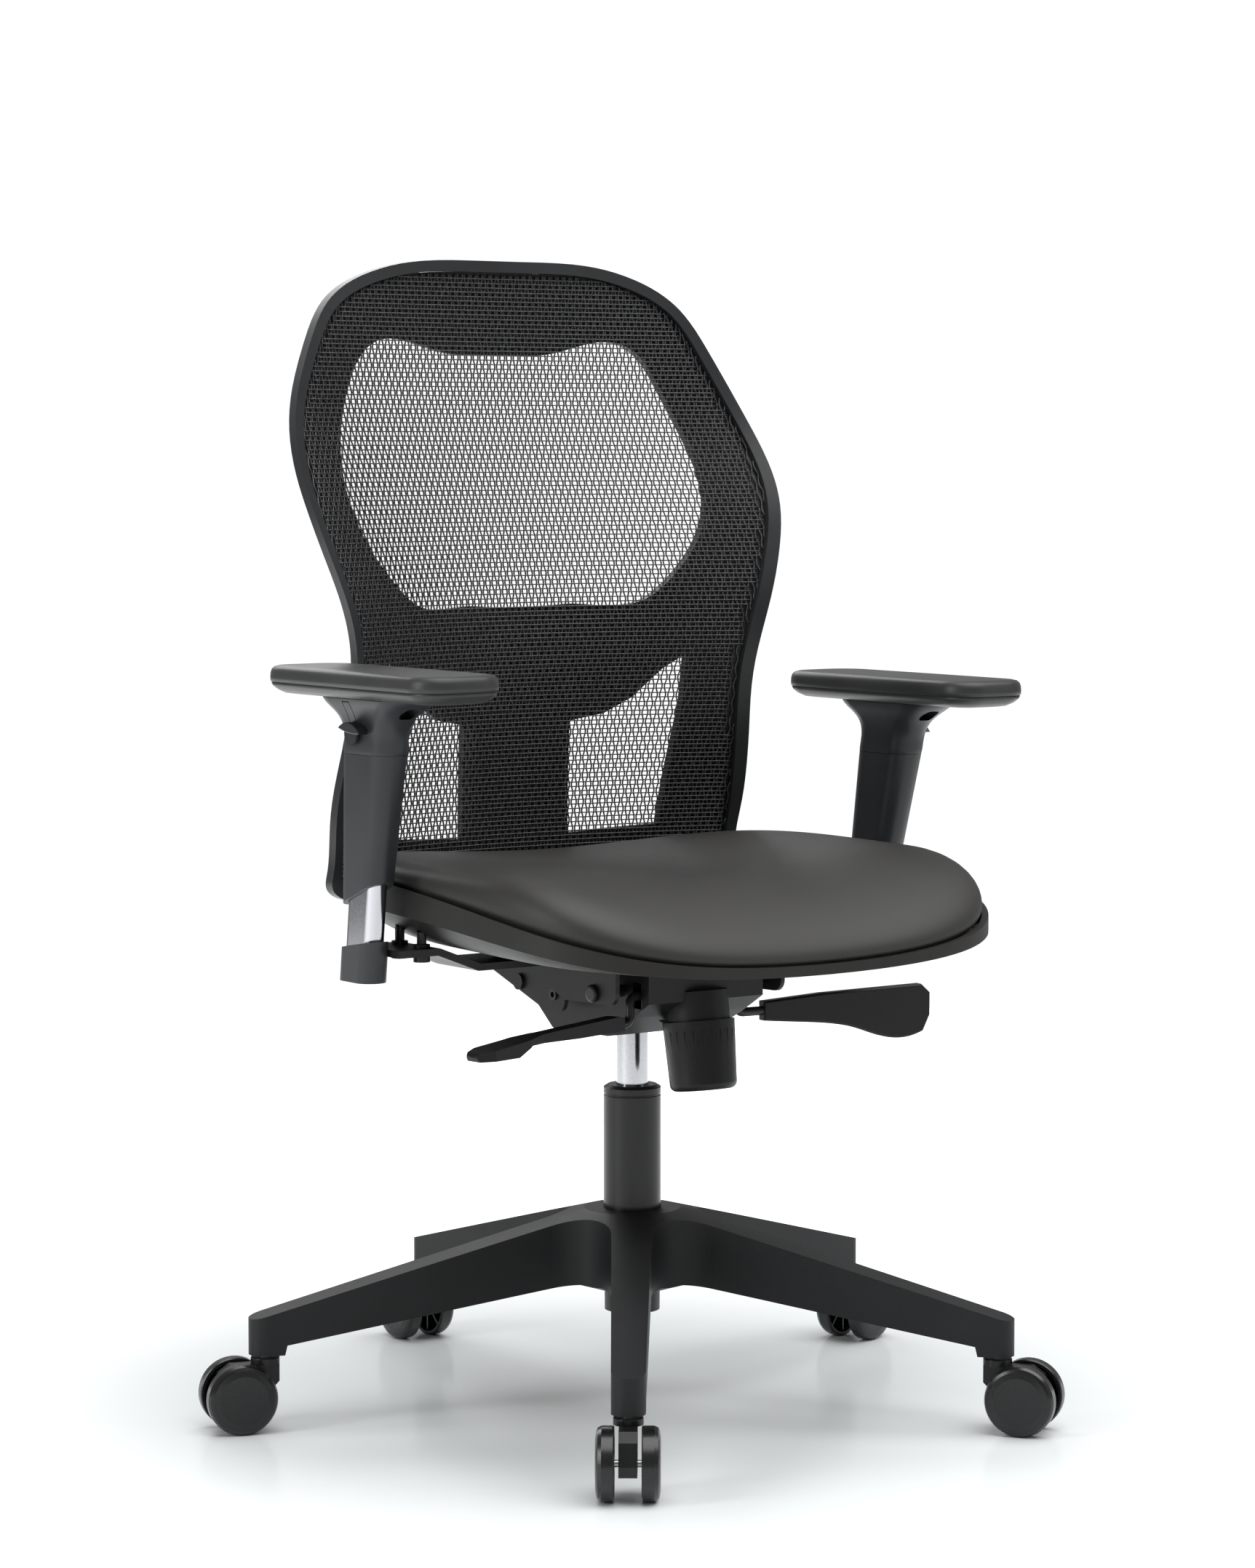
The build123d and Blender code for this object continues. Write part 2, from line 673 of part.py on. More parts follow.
LIFT_ROOT = (97.0, -57.5)
LOCK_ROOT = (-80.0, -94.0)
lift_path = rod_path([(0, 6, 381), (0, -52, 381), (70, -52, 374), (72, -55, 344), (112, -59, 344)], 7)
lock_path = rod_path([(-46, -91, 372), (-67, -91, 372), (-69, -92.8, 350), (-104, -96.5, 348)], 7)

with BuildPart() as lift_lever_rod:
    sweep(rod_section(lift_path), path=lift_path)
write(lift_lever_rod, "lift_lever_rod")

with BuildPart() as lock_lever_rod:
    sweep(rod_section(lock_path), path=lock_path)
write(lock_lever_rod, "lock_lever_rod")

with BuildPart() as lift_paddle:
    blade = lever_plane(LIFT_ROOT, 1)
    with BuildSketch(blade):
        with BuildLine():
            Polyline((0, 352.5), (60, 356), (163, 358), (172, 350), (172, 330), (165, 316))
            Spline((165, 316), (115, 316), (98, 322), (48, 331), (0, 335.5))
            Line((0, 335.5), (0, 352.5))
        make_face()
    extrude(amount=5.5, both=True)
    fillet(lift_paddle.faces().filter_by(Axis((0, 0, 0), blade.z_dir)).edges(), 2)
    sweep(rod_section(lift_path), path=lift_path, mode=Mode.SUBTRACT)
write(lift_paddle, "lift_paddle")

with BuildPart() as lock_paddle:
    blade = lever_plane(LOCK_ROOT, -1)
    with BuildSketch(blade):
        with BuildLine():
            Polyline((0, 356), (8, 357), (92, 350), (118, 346), (158, 340.5), (161, 337))
            Polyline((161, 337), (158, 333), (120, 334), (105, 342.5), (49, 343), (0, 345), (0, 356))
        make_face()
    extrude(amount=15, both=True)
    with BuildSketch(Plane(origin=blade.origin + (0, 0, 300), x_dir=blade.x_dir, z_dir=(0, 0, 1))):
        with BuildLine():
            Polyline((0, 0), (0, 7), (88, 7), (108, 13), (146, 14), (160, 7), (161, 0))
            mirror(about=Plane.XZ)
        make_face()
    extrude(amount=100, mode=Mode.INTERSECT)
    sweep(rod_section(lock_path), path=lock_path, mode=Mode.SUBTRACT)
write(lock_paddle, "lock_paddle")


# ---------------------------------------------------------------- seat
with BuildPart() as seat_bracket:
    with BuildSketch(Plane.XY.offset(398)):
        with Locations((0, -12)):
            RectangleRounded(2 * (BRACKET_X + PLATE), 180, 8)
    extrude(amount=3.5)
    for side in (-1, 1):
        with BuildSketch(Plane.YZ.offset(side * BRACKET_X)):
            with BuildLine():
                Polyline((-101, 400), (-101, 378))
                ThreePointArc((-101, 378), (-98, 369), (-90, 366))
                Line((-90, 366), (-26, 364))
                Spline((-26, 364), (4, 375), (73, 390))
                Polyline((73, 390), (78, 400), (-101, 400))
            make_face()
        extrude(amount=side * PLATE)
        # lug with the slot that the rear pin works in
        with BuildSketch(Plane.YZ.offset(side * LUG_X)):
            Polygon((40, 400), (40, 372), (47, 361), (63, 361), (72, 372), (72, 400), align=None)
        extrude(amount=side * PLATE)
    extrude(cross_disc(FRONT_PIVOT, PIN_R), amount=BRACKET_X + PLATE, both=True, mode=Mode.SUBTRACT)
    extrude(cross_disc(REAR_PIN, PIN_R + 1.5), amount=LUG_X + PLATE + 1, both=True, mode=Mode.SUBTRACT)
    with BuildSketch(Plane.XY.offset(390)):
        Circle(24)
        with Locations(*SEAT_SCREWS):
            Circle(SEAT_SCREW_R + 0.3)
    extrude(amount=20, mode=Mode.SUBTRACT)
write(seat_bracket, "seat_bracket")


def seat_plan(inset):
    """Plan outline of the seat, brought in by an inset, on a level plane below the seat."""
    with BuildSketch(Plane.XY.offset(380)) as plan:
        with BuildLine():
            Spline(*seat_outline(inset), periodic=True)
        make_face()
    return plan.sketch


def bolt_places(side):
    """Where the two long bolts of one arm pass through the pan."""
    return [(side * ARM_BOLT_X, y) for y in ARM_BOLT_Y]


above = Vector(0, 0, 1)
below = Vector(0, 0, -1)
DEEP = 150.0

with BuildPart() as pan_hollow:
    extrude(seat_plan(PAN_WALL + 1), amount=DEEP)
    extrude(plan_face(pan_height, PAN_WALL), amount=DEEP, dir=below, mode=Mode.SUBTRACT)

with BuildPart() as seat_pan:
    extrude(seat_plan(0), amount=DEEP)
    extrude(plan_face(rim_height), amount=DEEP, dir=above, mode=Mode.SUBTRACT)
    extrude(plan_face(pan_height), amount=DEEP, dir=below, mode=Mode.SUBTRACT)
    add(pan_hollow.part, mode=Mode.SUBTRACT)
    with BuildSketch(Plane.XY.offset(390)):
        with Locations(*SEAT_SCREWS):
            Circle(SEAT_SCREW_R)
        with Locations(*bolt_places(-1), *bolt_places(1)):
            Circle(ARM_BOLT_R)
    extrude(amount=80, mode=Mode.SUBTRACT)
write(seat_pan, "seat_pan")

board_inset = PAN_WALL + 8
with BuildPart() as seat_board:
    extrude(seat_plan(board_inset), amount=DEEP)
    extrude(plan_face(pan_height, PAN_WALL + BOARD_THICKNESS), amount=DEEP, dir=above, mode=Mode.SUBTRACT)
    extrude(plan_face(pan_height, PAN_WALL + 0.4), amount=DEEP, dir=below, mode=Mode.SUBTRACT)
    with BuildSketch(Plane.XY.offset(390)):
        with Locations(*SEAT_SCREWS):
            Circle(SEAT_SCREW_R)
    extrude(amount=SEAT_SCREW_TOP - 390, mode=Mode.SUBTRACT)
write(seat_board, "seat_board")

board_top = plan_face(pan_height, PAN_WALL + BOARD_THICKNESS + 0.4)
with BuildPart() as board_space:
    extrude(seat_plan(board_inset - 0.4), amount=DEEP)
    extrude(board_top, amount=DEEP, dir=above, mode=Mode.SUBTRACT)

with BuildPart() as seat_cushion:
    extrude(seat_plan(PAN_WALL + 2), amount=DEEP)
    extrude(plan_face(cushion_height), amount=DEEP, dir=above, mode=Mode.SUBTRACT)
    extrude(plan_face(pan_height, PAN_WALL + 0.4), amount=DEEP, dir=below, mode=Mode.SUBTRACT)
    add(board_space.part, mode=Mode.SUBTRACT)
write(seat_cushion, "seat_cushion")


# ---------------------------------------------------------------- arms
def arm_centre(side, z):
    """Point of an arm's sliding axis at a height."""
    rise = z - ARM_REFERENCE_Z
    return Vector(side * (ARM_X + ARM_SPLAY * rise), ARM_Y - ARM_LEAN * rise, z)


def arm_section(side, z, size):
    """Slot-shaped level section of an arm, long axis fore and aft."""
    width, length = size
    with BuildSketch(Plane(origin=arm_centre(side, z))) as section:
        SlotOverall(length, width, rotation=90)
    return section.sketch


def grown(size, gap):
    """A section size with a gap added all round."""
    return (size[0] + 2 * gap, size[1] + 2 * gap)


for name, side in SIDES:
    seam = ARM_SEAM_Z[name]
    axis = (arm_centre(side, 1) - arm_centre(side, 0)).normalized()
    stretch = 1 / axis.Z
    with BuildPart() as arm_bracket:
        with BuildSketch(Plane.XZ.offset(-ARM_BAR_Y[0])):
            Polygon(
                (side * 95, 395.5),
                (side * 179, 395.5),
                (side * 219, 411),
                (side * ARM_BAR_END_X, 411),
                (side * ARM_BAR_END_X, 417),
                (side * 217, 417),
                (side * 177, 401.5),
                (side * 95, 401.5),
                align=None,
            )
        extrude(amount=ARM_BAR_Y[0] - ARM_BAR_Y[1])
        with BuildSketch(Plane.XY.offset(400)):
            with Locations(*bolt_places(side)):
                Circle(ARM_BOLT_R)
        extrude(amount=30, mode=Mode.SUBTRACT)
    write(arm_bracket, f"arm_bracket_{name}")

    with BuildPart() as arm_post:
        post_length = (POST_TOP_Z - POST_BOTTOM_Z) * stretch
        extrude(arm_section(side, POST_BOTTOM_Z, POST_SIZE), amount=post_length, dir=axis)
    write(arm_post, f"arm_post_{name}")

    with BuildPart() as arm_cup:
        extrude(arm_section(side, CUP_BOTTOM_Z, CUP_SIZE), amount=50 * stretch, dir=axis)
        with BuildSketch(Plane.YZ.offset(side * 230)):
            Polygon((-60, 431.7), (60, 411.7), (60, 480), (-60, 480), align=None)
        extrude(amount=side * 80, mode=Mode.SUBTRACT)
        add(arm_post.part, mode=Mode.SUBTRACT)
        add(arm_bracket.part, mode=Mode.SUBTRACT)
    write(arm_cup, f"arm_cup_{name}")

    hollow_size = grown(POST_SIZE, POST_GAP)
    hollow_length = (SLEEVE_LENGTH + POST_HEADROOM + 40) * stretch
    with BuildPart() as post_space:
        extrude(arm_section(side, seam - SLEEVE_LENGTH - 40, hollow_size), amount=hollow_length, dir=axis)

    with BuildPart() as arm_sleeve:
        arm_section_low = arm_section(side, seam - SLEEVE_LENGTH - 12, SLEEVE_BOTTOM)
        loft([arm_section_low, arm_section(side, seam - 0.15, SLEEVE_TOP)])
        middle = arm_centre(side, seam - SLEEVE_LENGTH)
        with BuildSketch(Plane.YZ.offset(side * 230)):
            Polygon(
                (middle.Y - 60, middle.Z + 24),
                (middle.Y + 60, middle.Z - 24),
                (middle.Y + 60, middle.Z - 80),
                (middle.Y - 60, middle.Z - 80),
                align=None,
            )
        extrude(amount=side * 80, mode=Mode.SUBTRACT)
        add(post_space.part, mode=Mode.SUBTRACT)
    write(arm_sleeve, f"arm_sleeve_{name}")

    trigger_at = arm_centre(side, seam + 17)
    trigger_plane = Plane.YZ.offset(trigger_at.X + side * TRIGGER_OUT)
    trigger_place = (trigger_at.Y + 6, trigger_at.Z)
    with BuildPart() as arm_head:
        loft([arm_section(side, seam + 0.15 + rise, size) for rise, size in HEAD_SECTIONS])
        add(post_space.part, mode=Mode.SUBTRACT)
        with BuildSketch(trigger_plane):
            with Locations(trigger_place):
                Circle(TRIGGER_BOSS_R + RUNNING_GAP)
        extrude(amount=-side * 7, mode=Mode.SUBTRACT)
        # joint line of the cover plate above the trigger
        with BuildSketch(trigger_plane.offset(side * 10)):
            with Locations((trigger_place[0], trigger_place[1] + 15)):
                Rectangle(11, 24)
                Rectangle(9.4, 22.4, mode=Mode.SUBTRACT)
        extrude(amount=-side * 14, mode=Mode.SUBTRACT)
        # finger recess in the front, just under the pad
        with BuildSketch(Plane.XZ.offset(34 - trigger_at.Y)):
            with Locations((trigger_at.X, seam + 35)):
                SlotOverall(16, 9)
        extrude(amount=60, mode=Mode.SUBTRACT)
    write(arm_head, f"arm_head_{name}")

    pad_bottom = seam + HEAD_HEIGHT + 0.3
    with BuildPart() as arm_pad:
        with BuildSketch(Plane.XY.offset(pad_bottom)):
            with Locations((side * PAD_CENTRE[0], PAD_CENTRE[1])):
                RectangleRounded(*PAD_SIZE, 26)
        extrude(amount=PAD_THICKNESS)
        fillet(arm_pad.faces().sort_by(Axis.Z)[-1].edges(), 10)
        fillet(arm_pad.faces().sort_by(Axis.Z)[0].edges(), 5)
    write(arm_pad, f"arm_pad_{name}")

    # height release on the outer face of the head, turning on a short boss
    with BuildPart() as arm_trigger:
        with BuildSketch(trigger_plane):
            with Locations(trigger_place):
                Circle(TRIGGER_BASE_R)
        extrude(amount=side * 2)
        # lens-shaped finger blade across the top of the round base
        with BuildSketch(trigger_plane):
            with BuildLine():
                y, z = trigger_place
                ThreePointArc((y - 24, z + 1), (y - 8, z + 10), (y + 9, z + 5))
                ThreePointArc((y + 9, z + 5), (y - 6, z + 1.5), (y - 24, z + 1))
            make_face()
        extrude(amount=side * 9)
        with BuildSketch(trigger_plane):
            with Locations(trigger_place):
                Circle(TRIGGER_BOSS_R)
        extrude(amount=-side * 6.5)
        fillet(arm_trigger.faces().sort_by(Axis((0, 0, 0), (side, 0, 0)))[-1].edges(), 1.2)
    write(arm_trigger, f"arm_trigger_{name}")


# ---------------------------------------------------------------- seat fasteners
with BuildPart() as seat_screws:
    with Locations(*[(x, y, 395) for x, y in SEAT_SCREWS]):
        Cylinder(5.5, 2.9, align=STANDING)
        Cylinder(SEAT_SCREW_R - 0.02, SEAT_SCREW_TOP - 395, align=STANDING)
    for side in (-1, 1):
        for x, y in bolt_places(side):
            seat_under = pan_height(x, y)
            with Locations((x, y, 405)):
                Cylinder(7, 5.9, align=STANDING)
                Cylinder(ARM_BOLT_R - 0.02, seat_under - 405 + 1, align=STANDING)
            with Locations((x, y, 417.1)):
                Cylinder(7, 2.5, align=STANDING)
write(seat_screws, "seat_screws")


# ---------------------------------------------------------------- back
ahead = Vector(0, -1, 0)
behind = Vector(0, 1, 0)

with BuildPart() as back_bar:
    for side in (-1, 1):
        with BuildSketch(Plane.YZ.offset(side * BACK_ARM_X)):
            with BuildLine():
                Polyline((97, 391), (97, 377), (16, 350), (-6, 351))
                ThreePointArc((-6, 351), (-13, 361), (-6, 375))
                Polyline((-6, 375), (40, 391), (97, 391))
            make_face()
        extrude(amount=side * PLATE)
        # stud that works in the slot of the seat bracket
        extrude(cross_disc(REAR_PIN, PIN_R, side * (LUG_X - 2)), amount=side * (BACK_ARM_X - LUG_X + 2))
        extrude(cross_disc(REAR_PIN, 7, side * (BACK_ARM_X + PLATE)), amount=side * 3)
    extrude(cross_disc(MAIN_PIVOT, PIN_R), amount=BACK_ARM_X + PLATE, both=True, mode=Mode.SUBTRACT)
    with BuildSketch(Plane.YZ):
        Polygon((84, 391), (84, 377), (97, 377), (97, 391), align=None)
    extrude(amount=BACK_ARM_X, both=True)
    with BuildSketch(Plane.YZ):
        with BuildLine():
            Polyline((90, 391), (90, 377), (184, 381))
            ThreePointArc((184, 381), (199, 387), (205, 402))
            Polyline((205, 402), (205, SPINE_TOP_Z), (193, SPINE_TOP_Z), (193, 408))
            ThreePointArc((193, 408), (190.5, 399), (182, 396))
            Polyline((182, 396), (90, 391))
        make_face()
    extrude(amount=SPINE_HALF_WIDTH, both=True)
    for x, z in BACK_SCREWS:
        with Locations(Plane(origin=(x, 190, z), z_dir=behind)):
            Cylinder(BACK_SCREW_R, 40, mode=Mode.SUBTRACT)
write(back_bar, "back_bar")

carcass_outline = back_sketch(RIM_WIDTH + 0.2)
with BuildPart() as back_carcass:
    extrude(carcass_outline, amount=BACK_REACH, dir=behind)
    extrude(back_face(CARCASS_GAP), amount=BACK_REACH, dir=ahead, mode=Mode.SUBTRACT)
    extrude(back_face(CARCASS_GAP + CARCASS_THICKNESS), amount=BACK_REACH, dir=behind, mode=Mode.SUBTRACT)
    with BuildSketch(Plane.XZ):
        with BuildLine():
            Spline(*UPPER_WINDOW, tangents=[(1, 0), (-1, 0)])
            mirror(about=Plane.YZ)
        make_face()
        for side in (-1, 1):
            with BuildLine():
                Polyline(*[(side * x, z) for x, z in LOWER_WINDOW], close=True)
            make_face()
    extrude(amount=-BACK_REACH, mode=Mode.SUBTRACT)
    for x, z in BACK_SCREWS:
        with Locations(Plane(origin=(x, back_depth(x, z) + BACK_SCREW_TIP, z), z_dir=behind)):
            Cylinder(BACK_SCREW_R, 40, align=STANDING, mode=Mode.SUBTRACT)
write(back_carcass, "back_carcass")

rim_outer = back_sketch(0)
rim_inner = back_sketch(RIM_WIDTH)
with BuildPart() as back_rim:
    extrude(rim_outer, amount=BACK_REACH, dir=behind)
    extrude(back_face(-RIM_PROUD), amount=BACK_REACH, dir=ahead, mode=Mode.SUBTRACT)
    extrude(back_face(RIM_BEHIND), amount=BACK_REACH, dir=behind, mode=Mode.SUBTRACT)
    extrude(rim_inner, amount=BACK_REACH, dir=behind, mode=Mode.SUBTRACT)
write(back_rim, "back_rim")

with BuildPart() as back_mesh:
    extrude(carcass_outline, amount=BACK_REACH, dir=behind)
    extrude(back_face(-MESH_THICKNESS / 2), amount=BACK_REACH, dir=ahead, mode=Mode.SUBTRACT)
    extrude(back_face(MESH_THICKNESS / 2), amount=BACK_REACH, dir=behind, mode=Mode.SUBTRACT)
write(back_mesh, "back_mesh")

with BuildPart() as back_screws:
    for x, z in BACK_SCREWS:
        tip = back_depth(x, z) + BACK_SCREW_TIP
        with Locations(Plane(origin=(x, tip, z), z_dir=behind)):
            Cylinder(BACK_SCREW_R - 0.02, 206 - tip, align=STANDING)
        with Locations(Plane(origin=(x, 205.1, z), z_dir=behind)):
            Cylinder(6, 3.5, align=STANDING)
write(back_screws, "back_screws")
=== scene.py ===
"""Looks of the swivel office chair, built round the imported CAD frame.  Metres, +Z up, seat facing -Y."""

import json
from math import cos, pi, radians, sin

import bpy
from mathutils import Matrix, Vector
from mathutils.bvhtree import BVHTree


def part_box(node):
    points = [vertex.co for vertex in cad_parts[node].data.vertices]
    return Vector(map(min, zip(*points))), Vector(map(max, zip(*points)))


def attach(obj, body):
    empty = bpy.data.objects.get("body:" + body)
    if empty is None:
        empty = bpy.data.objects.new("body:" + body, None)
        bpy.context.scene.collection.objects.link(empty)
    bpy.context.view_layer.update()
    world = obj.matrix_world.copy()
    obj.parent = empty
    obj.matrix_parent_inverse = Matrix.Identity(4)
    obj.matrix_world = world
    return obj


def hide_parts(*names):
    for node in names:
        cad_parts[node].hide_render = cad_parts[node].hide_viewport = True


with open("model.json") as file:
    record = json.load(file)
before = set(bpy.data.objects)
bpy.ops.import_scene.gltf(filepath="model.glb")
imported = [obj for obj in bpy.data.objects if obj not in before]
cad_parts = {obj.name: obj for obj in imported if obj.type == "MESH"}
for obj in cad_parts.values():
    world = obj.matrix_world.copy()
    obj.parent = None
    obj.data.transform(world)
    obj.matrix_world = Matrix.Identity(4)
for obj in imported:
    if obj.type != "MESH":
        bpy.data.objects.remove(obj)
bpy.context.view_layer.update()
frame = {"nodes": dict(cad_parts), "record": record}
nodes = frame["nodes"]
SIDES = ("right", "left")  # as the sitter has them: the right is -X


# ---------------------------------------------------------------- materials
def shader(name):
    """New node material, with its node tree and its principled shader."""
    material = bpy.data.materials.new(name)
    material.use_nodes = True
    tree = material.node_tree
    return material, tree, tree.nodes["Principled BSDF"]


def noise(tree, coords, scale, detail=3.0, stretch=(1, 1, 1)):
    """Noise texture in object space, stretched along each axis."""
    mapping = tree.nodes.new("ShaderNodeMapping")
    mapping.inputs["Scale"].default_value = stretch
    tree.links.new(coords.outputs["Object"], mapping.inputs["Vector"])
    texture = tree.nodes.new("ShaderNodeTexNoise")
    texture.inputs["Scale"].default_value = scale
    texture.inputs["Detail"].default_value = detail
    tree.links.new(mapping.outputs["Vector"], texture.inputs["Vector"])
    return texture


def ranged(tree, source, low, high, start=0.3, end=0.7):
    """A texture's value moved to a new range."""
    node = tree.nodes.new("ShaderNodeMapRange")
    node.inputs["From Min"].default_value = start
    node.inputs["From Max"].default_value = end
    node.inputs["To Min"].default_value = low
    node.inputs["To Max"].default_value = high
    tree.links.new(source, node.inputs["Value"])
    return node.outputs["Result"]


def surface(
    name,
    colour,
    roughness,
    spread=0.08,
    grain=1100.0,
    bump=0.12,
    depth=0.0002,
    blotch_and_glint_scale=9.0,
    tint=0.25,
    metallic=0.0,
    stretch=(1, 1, 1),
    specular=0.32,
    sheen=0.0,
):
    """Moulded, painted or metal surface: colour blotches, uneven gloss and a fine grain; on the mesh yarn
    the fine colour blotches are painted glints.
    """
    material, tree, bsdf = shader(name)
    coords = tree.nodes.new("ShaderNodeTexCoord")
    # random colour blotches; on the mesh yarn they are painted glints
    broad = noise(tree, coords, blotch_and_glint_scale, 4.0)
    fine = noise(tree, coords, grain, 2.0, stretch)
    mix = tree.nodes.new("ShaderNodeMix")
    mix.data_type = "RGBA"
    mix.inputs[6].default_value = (*[c * (1 - tint) for c in colour], 1)
    mix.inputs[7].default_value = (*[min(1.0, c * (1 + tint)) for c in colour], 1)
    tree.links.new(ranged(tree, broad.outputs["Fac"], 0.0, 1.0), mix.inputs["Factor"])
    tree.links.new(mix.outputs[2], bsdf.inputs["Base Color"])
    both = tree.nodes.new("ShaderNodeMath")
    both.operation = "MULTIPLY_ADD"
    both.inputs[1].default_value = 0.5
    tree.links.new(fine.outputs["Fac"], both.inputs[0])
    halved = tree.nodes.new("ShaderNodeMath")
    halved.operation = "MULTIPLY"
    halved.inputs[1].default_value = 0.5
    tree.links.new(broad.outputs["Fac"], halved.inputs[0])
    tree.links.new(halved.outputs[0], both.inputs[2])
    tree.links.new(
        ranged(tree, both.outputs[0], roughness - spread, roughness + spread), bsdf.inputs["Roughness"]
    )
    relief = tree.nodes.new("ShaderNodeBump")
    relief.inputs["Strength"].default_value = bump
    relief.inputs["Distance"].default_value = depth
    tree.links.new(fine.outputs["Fac"], relief.inputs["Height"])
    tree.links.new(relief.outputs["Normal"], bsdf.inputs["Normal"])
    bsdf.inputs["Metallic"].default_value = metallic
    bsdf.inputs["Specular IOR Level"].default_value = specular
    bsdf.inputs["Sheen Weight"].default_value = sheen
    bsdf.inputs["Sheen Roughness"].default_value = 0.4
    return material


NYLON = surface("base_nylon", (0.0100, 0.0104, 0.0112), 0.5, grain=1500, bump=0.3, specular=0.24)
COLUMN = surface("column_black", (0.012, 0.012, 0.012), 0.3, grain=2500, bump=0.08, tint=0.2)
BUSH = surface("bush_plastic", (0.016, 0.016, 0.017), 0.35)
STEEL = surface("plain_steel", (0.5, 0.5, 0.51), 0.3, metallic=1.0, grain=900, stretch=(1, 1, 6))
CHROME = surface("chrome", (0.40, 0.41, 0.43), 0.16, 0.05, grain=600, bump=0.02, metallic=1.0, tint=0.04)
MECH = surface("mech_paint", (0.006, 0.006, 0.0064), 0.42, grain=1400, bump=0.16, specular=0.26)
LEVER = surface("lever_plastic", (0.0045, 0.0046, 0.005), 0.4, grain=1600, bump=0.12, specular=0.24)
LEVER_STEEL = surface("lever_steel", (0.012, 0.012, 0.013), 0.32, grain=1200, bump=0.08)
PAN = surface("pan_plastic", (0.0110, 0.0103, 0.0096), 0.46, grain=1300, bump=0.25, specular=0.26)
PLY = surface("plywood", (0.5, 0.36, 0.22), 0.6, grain=120, stretch=(1, 12, 12), bump=0.3, tint=0.3)
BACK = surface("back_plastic", (0.0075, 0.0078, 0.0083), 0.42, grain=1500, bump=0.12, specular=0.28)
ARM_PAINT = surface("arm_paint", (0.008, 0.008, 0.008), 0.4, grain=1400, bump=0.15)
ARM = surface("arm_plastic", (0.0215, 0.0230, 0.0260), 0.38, 0.05, grain=1700, bump=0.2)
PAD = surface("arm_pad_skin", (0.0285, 0.0290, 0.0295), 0.4, 0.05, grain=1900, bump=0.3, sheen=0.03)
CASTOR = surface("castor_plastic", (0.006, 0.006, 0.0064), 0.34, grain=1500, bump=0.1)
WHEEL = surface("castor_wheel", (0.0055, 0.0055, 0.006), 0.26, 0.1, grain=1300, bump=0.12, specular=0.45)
VINYL = surface(
    "cushion_vinyl", (0.0235, 0.0225, 0.0216), 0.52, 0.05, grain=850, bump=0.16, tint=0.1, blotch_and_glint_scale=5
)
# the yarn's strong fine colour speckle is painted glints: light dashes for threads catching light,
# scattered at random
YARN_PAINTED_GLINTS = surface(
    "mesh_yarn_painted_glints",
    (0.036, 0.036, 0.038),
    0.34,
    0.15,
    grain=2600,
    bump=0.5,
    blotch_and_glint_scale=420,
    tint=0.85,
    specular=0.5,
)
# the rim shares the carcass's slot and plastic but gets a paler, glossier copy; its paler colour is
# painted highlight for the light its rounded edge catches
RIM_PAINTED_HIGHLIGHT = surface("rim_plastic_painted_highlight", (0.0190, 0.0200, 0.0215), 0.36, grain=1500, bump=0.12)

FINISH = {
    "base_nylon": NYLON,
    "column_black": COLUMN,
    "bush_plastic": BUSH,
    "steel": STEEL,
    "chrome": CHROME,
    "mech_paint": MECH,
    "lever_plastic": LEVER,
    "lever_steel": LEVER_STEEL,
    "pan_plastic": PAN,
    "plywood": PLY,
    "cushion_vinyl": VINYL,
    "back_plastic": BACK,
    "mesh_fabric": YARN_PAINTED_GLINTS,
    "arm_paint": ARM_PAINT,
    "arm_plastic": ARM,
    "arm_pad_rubber": PAD,
    "castor_plastic": CASTOR,
    "castor_wheel": WHEEL,
}
for part in frame["record"]["subparts"]:
    node = nodes[part["node"]]
    node.data.materials.clear()
    node.data.materials.append(FINISH[part["material_slot"]])
# the rim takes the paler copy of the carcass plastic: painted highlight
nodes["back_rim"].data.materials[0] = RIM_PAINTED_HIGHLIGHT


# ---------------------------------------------------------------- mesh helpers
def piece(name, verts, faces, body, finish):
    """New smooth mesh piece that rides on a body."""
    mesh = bpy.data.meshes.new(name)
    mesh.from_pydata([tuple(v) for v in verts], [], faces)
    mesh.update()
    mesh.materials.append(finish)
    obj = bpy.data.objects.new(name, mesh)
    bpy.context.scene.collection.objects.link(obj)
    mesh.shade_smooth()
    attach(obj, body)
    return obj


def subdivided(obj):
    """Adds one level of subdivision surface."""
    modifier = obj.modifiers.new("subdivision", "SUBSURF")
    modifier.levels = 1
    modifier.render_levels = 1


def ring_faces(rings, count):
    """Quads between successive closed rings of points."""
    faces = []
    for r in range(rings - 1):
        for k in range(count):
            a, b = r * count + k, r * count + (k + 1) % count
            faces.append((a, b, b + count, a + count))
    return faces


# ---------------------------------------------------------------- seat cushion
SEAT_HALF_WIDTH, SEAT_MID_Y = 0.245, -0.030
SEAT_FRONT = (0.240, 4.0)  # (length, squareness)
SEAT_REAR = (0.195, 3.0)
RIM_FRONT_Z = 0.411
RIM_BOW = 0.35  # rise of the rim with the square of the distance from the middle
RIM_SLOPE = 0.2
RIM_SAG = 0.24
CROWN_Z = 0.477  # top of the cushion in the middle
THIGH_RISE = 0.022
SIDE_FALL = 0.012
FRONT_FALL = 0.050
FRONT_START_Y = -0.110
FRONT_RUN = 0.160
CUSHION_SPOKES = 144
CUSHION_UNDERSIDE_Z = 0.43
UNDER_RINGS = ((0.3, 0.006), (0.6, 0.006), (0.96, 0.008))  # (share of the way out, depth below the rim)
TUCK_RINGS = ((0.0080, -0.004), (0.0066, 0.001))  # (inset, height above the rim)
ROLL_RINGS = (  # (inset, share of the way from the rim up to the crown)
    (0.0050, 0.10),
    (0.0042, 0.30),
    (0.0052, 0.52),
    (0.0090, 0.72),
    (0.0170, 0.88),
    (0.0300, 0.968),
    (0.0500, 0.998),
)
CROWN_SHARES = (0.9, 0.78, 0.64, 0.5, 0.36, 0.22, 0.1)
UNDER_INSET = 0.012
CROWN_INSET = 0.05


